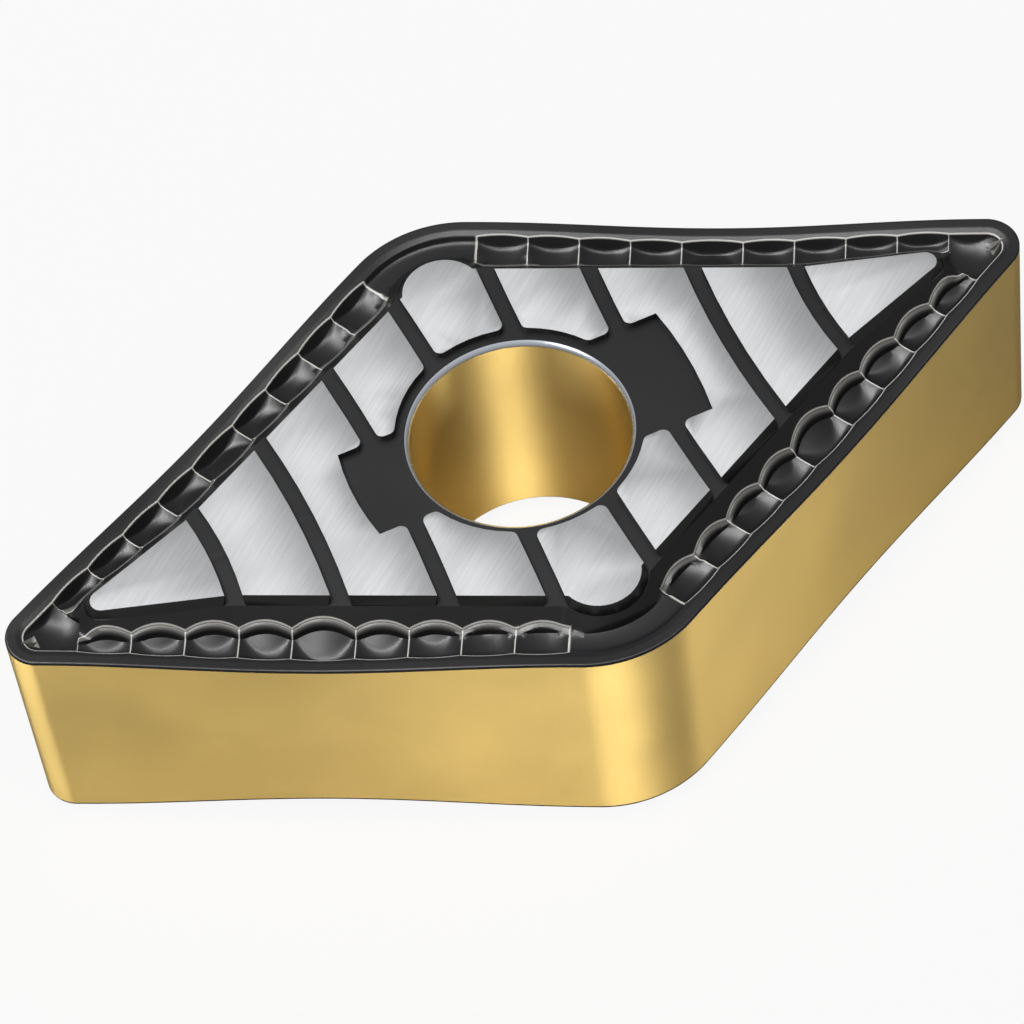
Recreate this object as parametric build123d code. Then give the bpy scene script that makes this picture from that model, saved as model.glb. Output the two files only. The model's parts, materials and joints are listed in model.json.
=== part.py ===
from build123d import *
import os
from math import cos, degrees, pi, radians, sin, tan

# Rhombic plan: inscribed circle, nose angle and the two corner roundings
INSCRIBED_CIRCLE = 12.7
NOSE_ANGLE = 55.0
NOSE_RADIUS = 0.8
HEEL_RADIUS = 3.0

# Heights, measured from seat to seat and from the seat down to the cutting edge
OVERALL_HEIGHT = 6.66
EDGE_STEP = 0.31
EDGE_DIP = 0.30

# Chip groove, measured inward from the side and down from the cutting edge
LAND_WIDTH = 0.25
LAND_DROP = 0.02
RAKE_END = 0.75
FLOOR_DROP = 0.18

# Raised seat: its inset from the sides, its long tongues and its round heels
SEAT_INSET = 1.68
SEAT_SLOPE = 47.0
TONGUE_LENGTH = 6.0
TONGUE_HALF_ANGLE = 19.2
TONGUE_RADIUS = 0.28
SEAT_HEEL_RADIUS = 0.95
SEAT_HEEL_STEP = 1.33

# One row of chip-breaker pockets along each side, the middle one larger: where the
# row starts from the nose vertex and how far it stays clear of the heel rounding
POCKET_START = 2.40
POCKET_END_STEP = 0.32
LARGE_PITCH = 1.46
SMALL_EACH_SIDE = 4
POCKET_DROP = 0.36
RIDGE_RISE = 0.12

# Section of every pocket: where its floor starts and ends, and how its walls slope
POCKET_FLOOR = (0.66, 0.95)
OUTER_WALL_SLOPE = 44.0
INNER_WALL_SLOPE = 70.0
WALL_RUN = 0.5

# Round pocket and small pointed notch on the bisector of each nose, by their
# distance from the end of the nose
NOSE_POCKET_STEP = 1.22
NOSE_POCKET_RADIUS = 0.65
NOSE_POCKET_FLOOR_RADIUS = 0.35
NOSE_POCKET_DEPTH = 0.20
NOTCH_STEP = 0.10
NOTCH_LENGTH = 0.50
NOTCH_WIDTH = 0.36
NOTCH_DEPTH = 0.10

# Plain grooves that part the seat into pads, evenly spaced from near the hole to
# just short of each tongue
GROOVES_EACH_SIDE = 4
FIRST_GROOVE = 1.0
LAST_GROOVE_STEP = 0.15
GROOVE_BOW = 0.25
GROOVE_WIDTH = 0.40
GROOVE_DEPTH = 0.18
PAD_ROUNDING = 0.18
PAD_MARGIN = 0.05

# Two bare recesses beside the hole: side, pad left up to the third groove, half width
RECESSES = ((-1, 1.15, 1.25), (1, 1.0, 1.56))
RECESS_BOW = 0.12

# Hole, the chamfer at its mouth and the ring groove round it
HOLE_RADIUS = 2.58
MOUTH_BEVEL = 0.11
RING_WIDTH = 0.22

SEAT_HEIGHT = OVERALL_HEIGHT / 2
EDGE_HEIGHT = SEAT_HEIGHT - EDGE_STEP
CORE_HEIGHT = EDGE_HEIGHT - EDGE_DIP - 2 * POCKET_DROP
HALF_ANGLE = radians(NOSE_ANGLE / 2)
NOSE_VERTEX = INSCRIBED_CIRCLE / 2 / sin(HALF_ANGLE)
HEEL_VERTEX = INSCRIBED_CIRCLE / 2 / cos(HALF_ANGLE)
SIDE_LENGTH = NOSE_VERTEX / cos(HALF_ANGLE)
SIDE_START = NOSE_RADIUS / tan(HALF_ANGLE)
SIDE_END = SIDE_LENGTH - HEEL_RADIUS * tan(HALF_ANGLE)
NOSE_CENTRE = Vector(NOSE_VERTEX - NOSE_RADIUS / sin(HALF_ANGLE), 0)
HEEL_CENTRE = Vector(0, HEEL_VERTEX - HEEL_RADIUS / cos(HALF_ANGLE))
NOSE_END = NOSE_CENTRE.X + NOSE_RADIUS
HEEL_END = HEEL_CENTRE.Y + HEEL_RADIUS
SEAT_NOSE_VERTEX = NOSE_VERTEX - SEAT_INSET / sin(HALF_ANGLE)
TONGUE_SHOULDER = NOSE_VERTEX - TONGUE_LENGTH
SMALL_PITCH = (SIDE_END - POCKET_END_STEP - POCKET_START - LARGE_PITCH) / (2 * SMALL_EACH_SIDE)
MOUTH_RADIUS = HOLE_RADIUS + MOUTH_BEVEL
RING_RADIUS = MOUTH_RADIUS + RING_WIDTH
GROOVE_PITCH = (TONGUE_SHOULDER - LAST_GROOVE_STEP - FIRST_GROOVE) / (GROOVES_EACH_SIDE - 1)
GROOVE_CROSSINGS = [FIRST_GROOVE + GROOVE_PITCH * count for count in range(GROOVES_EACH_SIDE)]
ALONG = Vector(-cos(HALF_ANGLE), sin(HALF_ANGLE))
INWARD = Vector(-sin(HALF_ANGLE), -cos(HALF_ANGLE))


def side_point(along, inward, height):
    """Point given by its distance along the side from the nose vertex and its inset."""
    return Vector(NOSE_VERTEX, 0, height) + ALONG * along + INWARD * inward


def edge_height(along):
    """Height of the cutting edge, which dips smoothly between the two corners."""
    part = (along - SIDE_START) / (SIDE_END - SIDE_START)
    part = min(max(part, 0), 1)
    return EDGE_HEIGHT - EDGE_DIP * sin(pi * part) ** 2


def rounded_rhombus():
    """Plan of the insert with its sharp noses and blunt heels rounded."""
    corners = [(NOSE_VERTEX, 0), (0, HEEL_VERTEX), (-NOSE_VERTEX, 0), (0, -HEEL_VERTEX)]
    plan = make_face(Polyline(*corners, close=True))
    noses = plan.vertices().sort_by(Axis.X)
    plan = fillet([noses[0], noses[-1]], NOSE_RADIUS)
    heels = plan.vertices().sort_by(Axis.Y)
    return fillet([heels[0], heels[-1]], HEEL_RADIUS)


def side_strip(start, end, start_drop, end_drop):
    """Strip of the chip groove that keeps its drop below the dipping edge."""
    wall_plane = Plane(origin=side_point(0, start, 0), x_dir=ALONG, z_dir=-INWARD)
    stations = [SIDE_START + (SIDE_END - SIDE_START) * step / 4 for step in range(5)]
    top = Spline(
        *[(along, edge_height(along) - start_drop) for along in stations],
        tangents=[(1, 0), (1, 0)],
    )
    rest = Polyline(top @ 1, (SIDE_END, 0), (SIDE_START, 0), top @ 0)
    travel = INWARD * (end - start) + Vector(0, 0, start_drop - end_drop)
    return extrude(wall_plane * make_face(top + rest), amount=travel.length, dir=travel)


def corner_sector(centre, radius, depth, start_angle, sweep):
    """The chip groove carried round a corner, about the axis of its rounding."""
    outward = Vector(1, 0).rotate(Axis.Z, start_angle)
    profile_plane = Plane(origin=centre, x_dir=outward, z_dir=outward.cross(Vector(0, 0, 1)))
    profile = Polyline(
        (radius, 0),
        (radius, EDGE_HEIGHT),
        (radius - LAND_WIDTH, EDGE_HEIGHT - LAND_DROP),
        (radius - RAKE_END, EDGE_HEIGHT - FLOOR_DROP),
        (radius - depth, EDGE_HEIGHT - FLOOR_DROP),
        (radius - depth, 0),
        close=True,
    )
    axis = Axis(centre, (0, 0, 1))
    return revolve(profile_plane * make_face(profile), axis=axis, revolution_arc=sweep)


def seat_plan():
    """Outline of the raised seat: inset rhombus, narrow tongues and round heels."""
    shoulder_y = (SEAT_NOSE_VERTEX - TONGUE_SHOULDER) * tan(HALF_ANGLE)
    heel_y = HEEL_VERTEX - SEAT_INSET / cos(HALF_ANGLE)
    tip_x = TONGUE_SHOULDER + shoulder_y / tan(radians(TONGUE_HALF_ANGLE))
    quarter = [(tip_x, 0), (TONGUE_SHOULDER, shoulder_y), (0, heel_y)]
    half = quarter + [(-TONGUE_SHOULDER, shoulder_y), (-tip_x, 0)]
    whole = half + [(x, -y) for x, y in reversed(half[1:-1])]
    plan = make_face(Polyline(*whole, close=True))
    tips = plan.vertices().sort_by(Axis.X)
    plan = fillet([tips[0], tips[-1]], TONGUE_RADIUS)
    circle_y = HEEL_END - SEAT_HEEL_STEP - SEAT_HEEL_RADIUS
    for end in (-1, 1):
        plan += Pos(0, end * circle_y) * Circle(SEAT_HEEL_RADIUS)
    return plan


def pocket_legs(drop):
    """Section of the pockets as points of inset and drop below the cutting edge."""
    start, end = POCKET_FLOOR
    outer_top = drop - WALL_RUN * tan(radians(OUTER_WALL_SLOPE))
    inner_top = drop - WALL_RUN * tan(radians(INNER_WALL_SLOPE))
    return [(start - WALL_RUN, outer_top), (start, drop), (end, drop), (end + WALL_RUN, inner_top)]


def scalloped_line():
    """Floor line of a pocket row: one arc for each pocket, then a straight run-out."""
    pitches = [SMALL_PITCH] * SMALL_EACH_SIDE
    pitches = pitches + [LARGE_PITCH] + pitches
    line = Curve()
    along = POCKET_START
    for pitch in pitches:
        rise = RIDGE_RISE * pitch / SMALL_PITCH
        middle = along + pitch / 2
        start = (along, edge_height(along) + RIDGE_RISE)
        lowest = (middle, edge_height(middle) + RIDGE_RISE - rise)
        along += pitch
        line += ThreePointArc(start, lowest, (along, edge_height(along) + RIDGE_RISE))
    return line + Line((along, edge_height(along) + RIDGE_RISE), (SIDE_END, EDGE_HEIGHT + RIDGE_RISE))


def pocket_row():
    """Cutter for the pockets of one side, in three legs across the chip groove."""
    floor = scalloped_line()
    rest = Polyline(floor @ 1, (SIDE_END, OVERALL_HEIGHT), (POCKET_START, OVERALL_HEIGHT), floor @ 0)
    profile = make_face(floor + rest)
    legs = pocket_legs(POCKET_DROP)
    row = []
    for (start, start_drop), (end, end_drop) in zip(legs, legs[1:]):
        wall_plane = Plane(origin=side_point(0, start, -start_drop), x_dir=ALONG, z_dir=-INWARD)
        travel = INWARD * (end - start) + Vector(0, 0, start_drop - end_drop)
        row.append(extrude(wall_plane * profile, amount=travel.length, dir=travel))
    return row


def heel_groove():
    """The pocket section carried smoothly round the heel."""
    outward = -INWARD
    section_plane = Plane(origin=HEEL_CENTRE, x_dir=outward, z_dir=outward.cross(Vector(0, 0, 1)))
    legs = pocket_legs(POCKET_DROP - RIDGE_RISE)
    section = [(HEEL_RADIUS - inset, EDGE_HEIGHT - drop) for inset, drop in legs]
    outline = [(section[0][0], OVERALL_HEIGHT)] + section + [(section[-1][0], OVERALL_HEIGHT)]
    face = section_plane * make_face(Polyline(*outline, close=True))
    return revolve(face, axis=Axis(HEEL_CENTRE, (0, 0, 1)), revolution_arc=degrees(HALF_ANGLE))


def nose_cutters():
    """Round pocket and pointed notch on the bisector of the nose."""
    floor = EDGE_HEIGHT - FLOOR_DROP - NOSE_POCKET_DEPTH
    wall_run = NOSE_POCKET_RADIUS - NOSE_POCKET_FLOOR_RADIUS
    pocket = Cone(
        bottom_radius=NOSE_POCKET_FLOOR_RADIUS,
        top_radius=NOSE_POCKET_FLOOR_RADIUS + 2 * wall_run,
        height=2 * NOSE_POCKET_DEPTH,
        align=(Align.CENTER, Align.CENTER, Align.MIN),
    )
    tip_x = NOSE_END - NOTCH_STEP
    back_x = tip_x - NOTCH_LENGTH
    tip = Polyline((tip_x, 0), (back_x, NOTCH_WIDTH / 2), (back_x, -NOTCH_WIDTH / 2), close=True)
    notch = extrude(make_face(tip), amount=2 * NOTCH_DEPTH)
    return [
        Pos(NOSE_END - NOSE_POCKET_STEP, 0, floor) * pocket,
        Pos(0, 0, EDGE_HEIGHT - LAND_DROP - NOTCH_DEPTH) * notch,
    ]


def quadrant():
    """One quarter of the upper half, up to its planes of symmetry."""
    side_angle = 90 - degrees(HALF_ANGLE)
    body = extrude(rounded_rhombus(), amount=CORE_HEIGHT)
    body += side_strip(0, LAND_WIDTH, 0, LAND_DROP)
    body += side_strip(LAND_WIDTH, RAKE_END, LAND_DROP, FLOOR_DROP)
    body += side_strip(RAKE_END, SEAT_INSET, FLOOR_DROP, FLOOR_DROP)
    body += corner_sector(NOSE_CENTRE, NOSE_RADIUS, NOSE_RADIUS, 0, side_angle)
    body += corner_sector(HEEL_CENTRE, HEEL_RADIUS, SEAT_INSET, side_angle, degrees(HALF_ANGLE))
    seat = Pos(0, 0, SEAT_HEIGHT) * seat_plan()
    boss_height = SEAT_HEIGHT - CORE_HEIGHT
    body += extrude(seat, amount=boss_height, dir=(0, 0, -1), taper=SEAT_SLOPE - 90)
    body -= pocket_row() + [heel_groove()]
    window = Box(NOSE_VERTEX, HEEL_VERTEX, OVERALL_HEIGHT, align=(Align.MIN,) * 3)
    return body & window


def groove_band(crossing):
    """Plain bowed groove right across the seat, bowed towards the hole."""
    side = 1 if crossing > 0 else -1
    reach = (SEAT_NOSE_VERTEX - abs(crossing)) * tan(HALF_ANGLE) + 2 * GROOVE_WIDTH
    end_x = crossing + side * GROOVE_BOW
    line = ThreePointArc((end_x, -reach), (crossing, 0), (end_x, reach))
    return trace(line, line_width=GROOVE_WIDTH)


def recess(side, pad_left, half_width):
    """Recess beside the hole, open to the ring groove, with a slightly bowed end."""
    reach = GROOVE_CROSSINGS[2] - GROOVE_WIDTH / 2 - pad_left
    corners = [(side * reach, half_width), (0, half_width), (0, -half_width), (side * reach, -half_width)]
    end = ThreePointArc(corners[3], (side * (reach + RECESS_BOW), 0), corners[0])
    return make_face(Polyline(*corners) + end)


def rounded_corners(plan, radius):
    """The plan with its outer corners rounded, by shrinking it and growing it again."""
    return offset(offset(plan, -radius), radius)


def seat_cutter():
    """Everything sunk in the seat: grooves between the pads, recesses and ring."""
    run = GROOVE_DEPTH / tan(radians(SEAT_SLOPE))
    pads = offset(seat_plan(), run + PAD_MARGIN)
    for crossing in GROOVE_CROSSINGS:
        pads -= groove_band(crossing)
        pads -= groove_band(-crossing)
    for side, pad_left, half_width in RECESSES:
        pads -= recess(side, pad_left, half_width)
    pads -= Circle(RING_RADIUS)
    rounded = Sketch()
    for pad in pads.faces():
        rounded += rounded_corners(pad, PAD_ROUNDING)
    sunk = offset(seat_plan(), run + GROOVE_WIDTH) - rounded
    return Pos(0, 0, SEAT_HEIGHT - GROOVE_DEPTH) * extrude(sunk, amount=2 * GROOVE_DEPTH)


def hole_cutter():
    """Through hole with a chamfered mouth at the ring groove of each face."""
    mouth = SEAT_HEIGHT - GROOVE_DEPTH
    profile = Polyline(
        (0, -mouth),
        (MOUTH_RADIUS, -mouth),
        (HOLE_RADIUS, MOUTH_BEVEL - mouth),
        (HOLE_RADIUS, mouth - MOUTH_BEVEL),
        (MOUTH_RADIUS, mouth),
        (0, mouth),
        close=True,
    )
    return revolve(Plane.XZ * make_face(profile), axis=Axis.Z)


def carbide_insert():
    """The whole double-sided insert, standing on its lower seat."""
    quarter = quadrant()
    half = quarter + mirror(quarter, about=Plane.YZ)
    upper = half + mirror(half, about=Plane.XZ)
    upper -= nose_cutters() + [Rot(0, 0, 180) * cutter for cutter in nose_cutters()]
    upper -= seat_cutter()
    whole = upper + Rot(180, 0, 0) * upper
    whole -= hole_cutter()
    return Pos(0, 0, SEAT_HEIGHT) * whole


if __name__ == "__main__":
    os.makedirs("parts", exist_ok=True)
    export_step(carbide_insert(), "parts/carbide_insert.step")
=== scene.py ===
import json
from math import cos, floor, pi, radians, sin, sqrt, tan

import bmesh
import bpy
from bpy.props import FloatProperty, FloatVectorProperty, IntProperty, PointerProperty
from mathutils import Matrix, Vector
from mathutils.geometry import tessellate_polygon


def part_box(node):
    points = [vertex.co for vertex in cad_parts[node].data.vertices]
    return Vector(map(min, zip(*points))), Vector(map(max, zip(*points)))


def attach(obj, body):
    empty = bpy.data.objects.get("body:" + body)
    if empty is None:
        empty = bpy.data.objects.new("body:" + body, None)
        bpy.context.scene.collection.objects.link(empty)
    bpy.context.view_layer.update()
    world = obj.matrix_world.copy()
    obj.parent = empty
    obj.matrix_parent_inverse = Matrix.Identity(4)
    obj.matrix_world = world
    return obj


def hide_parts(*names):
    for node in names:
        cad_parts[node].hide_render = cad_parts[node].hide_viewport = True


bl_info = {
    "name": "Carbide insert",
    "version": (1, 0, 0),
    "blender": (4, 5, 0),
    "location": "View3D > Sidebar > Insert",
    "description": "Coated turning insert with a pocketed chip groove and ground seats",
    "category": "Object",
}

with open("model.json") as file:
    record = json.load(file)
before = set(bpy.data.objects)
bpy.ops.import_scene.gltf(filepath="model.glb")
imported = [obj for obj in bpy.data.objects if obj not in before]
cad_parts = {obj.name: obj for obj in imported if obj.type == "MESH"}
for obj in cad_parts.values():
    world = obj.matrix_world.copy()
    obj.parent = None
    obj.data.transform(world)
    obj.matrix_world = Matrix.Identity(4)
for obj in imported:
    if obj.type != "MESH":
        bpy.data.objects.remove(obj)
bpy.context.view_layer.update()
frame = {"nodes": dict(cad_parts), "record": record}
NODE = "carbide_insert"
BODY = "root"
MM = 0.001
BOX_LOW, BOX_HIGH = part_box(NODE)
MIDDLE = (BOX_LOW.z + BOX_HIGH.z) / 2
SEAT_HEIGHT = BOX_HIGH.z - MIDDLE
CLAMP_BORE = next(mount for mount in frame["record"]["mounts"] if mount["name"] == "clamp_bore")
BORE = CLAMP_BORE["dims"]["r_mm"] * MM
SLOT_COLOURS = {entry["slot"]: entry["base_color"] for entry in frame["record"]["materials"]}

# How near two points lie to count as one: in a flat sheet, where its copies join and in a closed
# mesh. The last is how near a level a point lies to be on it.
SAME_POINT = 0.0001 * MM
SAME_SEAM = 0.0003 * MM
SAME_CORNER = 0.0002 * MM
SAME_LEVEL = 0.001 * MM

# Turns from face to face that stay sharp on the coating and on the pads
SHARP_TURN = radians(44)
PAD_SHARP_TURN = radians(30)

# How far the hoods, the walls of the pads and the notches take on the colour of the bright lines: a
# painted sheen on the hoods and pad walls and a painted highlight in the notches, where light would catch
# them.
HOOD_SHEEN = 0.15
PAD_WALL_SHEEN = 0.06
NOTCH_SHEEN = 0.30


# Sizes and colours that a user would change


def length(label, description, millimetres):
    """A size in the user's units, given here in millimetres."""
    return FloatProperty(
        name=label, description=description, default=millimetres * MM, unit="LENGTH", precision=6
    )


def angle(label, description, degree_value):
    """An angle, given here in degrees."""
    return FloatProperty(
        name=label, description=description, default=radians(degree_value), subtype="ANGLE"
    )


def share(label, description, value):
    """A plain number such as a roughness."""
    return FloatProperty(name=label, description=description, default=value, subtype="FACTOR")


def colour(label, description, value):
    """A colour in linear light."""
    return FloatVectorProperty(
        name=label, description=description, default=value, subtype="COLOR", size=3, min=0, max=1
    )


class InsertSizes(bpy.types.PropertyGroup):
    """Sizes that the rule of the chip face is worked out from."""

    inscribed_circle: length("Inscribed circle", "Circle that touches all four sides", 12.7)
    nose_angle: angle("Nose angle", "Angle between the two sides of a nose", 55)
    nose_radius: length("Nose radius", "Rounding of the two sharp corners", 0.8)
    heel_radius: length("Heel radius", "Rounding of the two blunt corners", 3.0)
    edge_step: length("Edge step", "Drop from the seat to the cutting edge", 0.31)
    edge_dip: length("Edge dip", "Dip of the edge at the middle of a side", 0.30)
    hone: length("Hone", "Rounding of the cutting edge", 0.035)
    land_width: length("Land width", "Width of the flat land behind the edge", 0.25)
    land_drop: length("Land drop", "Fall of the land", 0.02)
    rake_end: length("Rake end", "Inset at which the rake face meets the groove floor", 0.75)
    floor_drop: length("Floor drop", "Depth of the groove floor below the edge", 0.18)
    seat_inset: length("Seat inset", "Inset of the raised seat from the sides", 1.68)
    seat_slope: angle("Seat slope", "Slope of the bank that rises to the seat", 47)
    tongue_length: length("Tongue length", "From the nose vertex to the shoulder of the tongue", 6.0)
    tongue_half_angle: angle("Tongue half angle", "Half the angle of the seat's tongue", 19.2)
    tongue_radius: length("Tongue radius", "Rounding of the end of the tongue", 0.28)
    seat_heel_radius: length("Seat heel radius", "Rounding of the seat at the heel", 0.95)
    seat_heel_step: length("Seat heel step", "From the heel to the seat", 1.33)
    pocket_start: length("Pocket start", "From the nose vertex to the first pocket", 2.40)
    pocket_end_step: length("Pocket end step", "From the last pocket to the heel rounding", 0.32)
    large_pitch: length("Large pitch", "Width of the middle pocket", 1.46)
    small_each_side: IntProperty(
        name="Small pockets", description="Small pockets on each side of the middle one", default=4
    )
    pocket_front: length("Pocket front", "Inset of the front line of the pockets", 0.35)
    front_bow: length("Front bow", "How far the front line gives way at the ridges", 0.05)
    ridge_drop: length("Ridge drop", "Depth of the ridges between the pockets", 0.21)
    bowl_depth: length("Bowl depth", "Depth of a small pocket below its ridges", 0.16)
    outer_wall_slope: angle("Outer wall slope", "Slope of the pocket wall behind the land", 60)
    inner_wall_slope: angle("Inner wall slope", "Slope of the pocket wall at the bank", 28)
    wall_rounding: length("Wall rounding", "Softness of the meeting of floor and walls", 0.11)
    hood_reach: length("Hood reach", "Inset of the back of the hood at the ridges", 1.15)
    hood_bow: length("Hood bow", "How far a small pocket's hood bows into the bank", 0.13)
    hood_width: length("Hood width", "Width of the hood behind each pocket", 0.15)
    hood_wall: length("Hood wall", "Height of the wall behind the hood", 0.05)
    hood_slope: angle("Hood slope", "Slope of the hood", 18)
    rim_step: length("Rim step", "Step from the hood down to the pocket", 0.22)
    step_slope: angle("Step slope", "Slope of the step and of the hood's wall", 75)
    hood_give: share("Hood give", "Share of the tongue's nearness that the hood gives way", 0.66)
    nose_pocket_step: length("Nose pocket step", "From the end of the nose to its pocket", 1.22)
    nose_pocket_radius: length("Nose pocket radius", "Radius of the round nose pocket", 0.62)
    nose_pocket_depth: length("Nose pocket depth", "Depth of the nose pocket below the ridges", 0.18)
    notch_step: length("Notch step", "From the end of the nose to the small notch", 0.34)
    notch_length: length("Notch length", "Length of the small notch", 0.36)
    notch_half_width: length("Notch half width", "Half the width of the small notch", 0.19)
    notch_depth: length("Notch depth", "Depth of the small notch", 0.12)
    notch_wall: length("Notch wall", "Run of the walls of the small notch", 0.11)
    groove_depth: length("Groove depth", "Depth of the grooves between the seat pads", 0.18)


class InsertDetail(bpy.types.PropertyGroup):
    """Sizes of the hidden meeting faces, the mouth of the hole and the fine mesh."""

    mouth_bevel: length("Mouth bevel", "Chamfer at each mouth of the hole", 0.11)
    skirt: length("Skirt", "How far the dark coating reaches down the flank", 0.045)
    core_step: length("Core step", "From the seat down to the hidden core", 1.13)
    core_inset: length("Core inset", "Inset of the hidden core from the flank", 0.30)
    collar: length("Collar", "Thickness of the collar behind the mouth rim", 0.04)
    pad_edge: length("Pad edge", "Rounding along the edges of the seat pads", 0.022)
    # Half the width of the painted highlight line; it also spaces the mesh rows and columns beside that
    # line.
    crest_width: length("Crest width", "Half the width of the bright line on a crest", 0.022)
    cell_columns: IntProperty(
        name="Cell columns", description="Mesh columns across one small pocket", default=20
    )
    arc_columns: IntProperty(
        name="Arc columns", description="Mesh columns round one half of a corner", default=44
    )
    run_out_columns: IntProperty(
        name="Run-out columns", description="Mesh columns between the last pocket and the heel", default=6
    )
    flank_rows: IntProperty(
        name="Flank rows", description="Mesh rows up half the flank and half the hole", default=6
    )
    hole_segments: IntProperty(
        name="Hole segments", description="Mesh segments round a quarter of the hole", default=40
    )


class InsertFinishes(bpy.types.PropertyGroup):
    """Colours and roughness of the finishes."""

    gold: colour("Gold", "Hard coating on the flanks and in the hole", (0.50, 0.361, 0.123))
    black: colour("Black", "Dark coating on the chip face", (0.0045, 0.0045, 0.005))
    # Colour of the painted highlight lines on the crests, and of the painted sheen on the hoods, pad
    # walls and notch.
    crest: colour("Crest", "Bright line on the crests of the pockets", (0.30, 0.29, 0.27))
    ground: colour("Ground", "Ground seat faces", SLOT_COLOURS["ground_seat"])
    rim: colour("Rim", "Bright chamfer at the hole", (0.78, 0.82, 0.90))
    gold_roughness: share("Gold roughness", "Roughness of the gold coating", 0.45)
    gold_grinding: share("Gold grinding", "How far the ground lines stretch its highlights", 0.9)
    black_roughness: share("Black roughness", "Roughness of the dark coating", 0.34)
    black_gloss: share("Black gloss", "Specular level of the dark coating", 0.28)
    ground_roughness: share("Ground roughness", "Roughness of the ground seats", 0.42)
    rim_roughness: share("Rim roughness", "Roughness of the bright chamfer", 0.25)


class StageValues(bpy.types.PropertyGroup):
    """Camera and light of the plain studio."""

    lens: FloatProperty(name="Lens", description="Focal length in millimetres", default=179.11)
    distance: length("Camera distance", "From the aim to the camera", 120.386)
    aim_x: length("Aim X", "Where the camera aims, on the middle plane", -0.4238)
    aim_y: length("Aim Y", "Where the camera aims, on the middle plane", 0.1960)
    heading: angle("Heading", "Turn of the view from the short axis", 16.711)
    tilt: angle("Tilt", "How far the camera looks down", 54.405)
    roll: angle("Roll", "Turn of the camera about its own axis", -8.791)
    surround: share("Surround", "Strength of the pale surroundings overhead", 0.60)
    horizon: share("Horizon", "Share of that strength left at the horizon", 0.28)
    floor_glow: share("Floor glow", "Share of the plain background in the floor", 0.92)
    background: colour("Background", "Colour of the floor and backdrop", (1.0, 1.0, 1.0))
    floor_shade: colour("Floor shade", "Colour of the floor under the lamps", (0.62, 0.62, 0.62))
    floor_roughness: share("Floor roughness", "Roughness of the floor", 0.8)
    floor_reach: length("Floor reach", "From the middle of the floor to its sides", 1500.0)


# Arithmetic that works on plain numbers and as math nodes


def smooth_maximum(first, second, reach):
    """The larger of two numbers, with the meeting rounded over the reach."""
    overlap = max(reach - abs(first - second), 0)
    return max(first, second) + overlap ** 3 / (6 * reach ** 2)


PLAIN = {
    "ADD": lambda first, second: first + second,
    "SUBTRACT": lambda first, second: first - second,
    "MULTIPLY": lambda first, second: first * second,
    "DIVIDE": lambda first, second: first / second,
    "MINIMUM": min,
    "MAXIMUM": max,
    "SMOOTH_MAX": smooth_maximum,
    "LESS_THAN": lambda first, second: float(first < second),
    "GREATER_THAN": lambda first, second: float(first > second),
    "ABSOLUTE": abs,
    "FRACT": lambda value: value - floor(value),
    "SQRT": sqrt,
    "SINE": sin,
    "COSINE": cos,
    "TANGENT": tan,
}


class Field:
    """A number that varies over a surface: arithmetic on it adds math nodes to its tree."""

    def __init__(self, tree, socket):
        self.tree = tree
        self.socket = socket

    def __add__(self, other):
        return work("ADD", self, other)

    def __radd__(self, other):
        return work("ADD", other, self)

    def __sub__(self, other):
        return work("SUBTRACT", self, other)

    def __rsub__(self, other):
        return work("SUBTRACT", other, self)

    def __mul__(self, other):
        return work("MULTIPLY", self, other)

    def __rmul__(self, other):
        return work("MULTIPLY", other, self)

    def __truediv__(self, other):
        return work("DIVIDE", self, other)

    def __rtruediv__(self, other):
        return work("DIVIDE", other, self)


def work(operation, *values):
    """One step of arithmetic, on plain numbers or as a math node."""
    fields = [value for value in values if isinstance(value, Field)]
    if not fields:
        return PLAIN[operation](*values)
    tree = fields[0].tree
    node = tree.nodes.new("ShaderNodeMath")
    node.operation = operation
    for place, value in enumerate(values):
        if isinstance(value, Field):
            tree.links.new(value.socket, node.inputs[place])
        else:
            node.inputs[place].default_value = value
    return Field(tree, node.outputs[0])


def smallest(first, *others):
    """The smallest of several values."""
    for other in others:
        first = work("MINIMUM", first, other)
    return first


def largest(first, *others):
    """The largest of several values."""
    for other in others:
        first = work("MAXIMUM", first, other)
    return first


def clamped(value):
    """The value kept between nought and one."""
    return smallest(largest(value, 0.0), 1.0)


def choose(mask, chosen, otherwise):
    """One value where the mask is one, and the other where it is nought."""
    return otherwise + mask * (chosen - otherwise)


def distance(x, y):
    """Length of a flat vector."""
    return work("SQRT", x * x + y * y)


def in_quarter(x, y):
    """Place in the first quarter of the plan, which the other three mirror."""
    return work("ABSOLUTE", x), work("ABSOLUTE", y)


# The rule of the chip face


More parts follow.
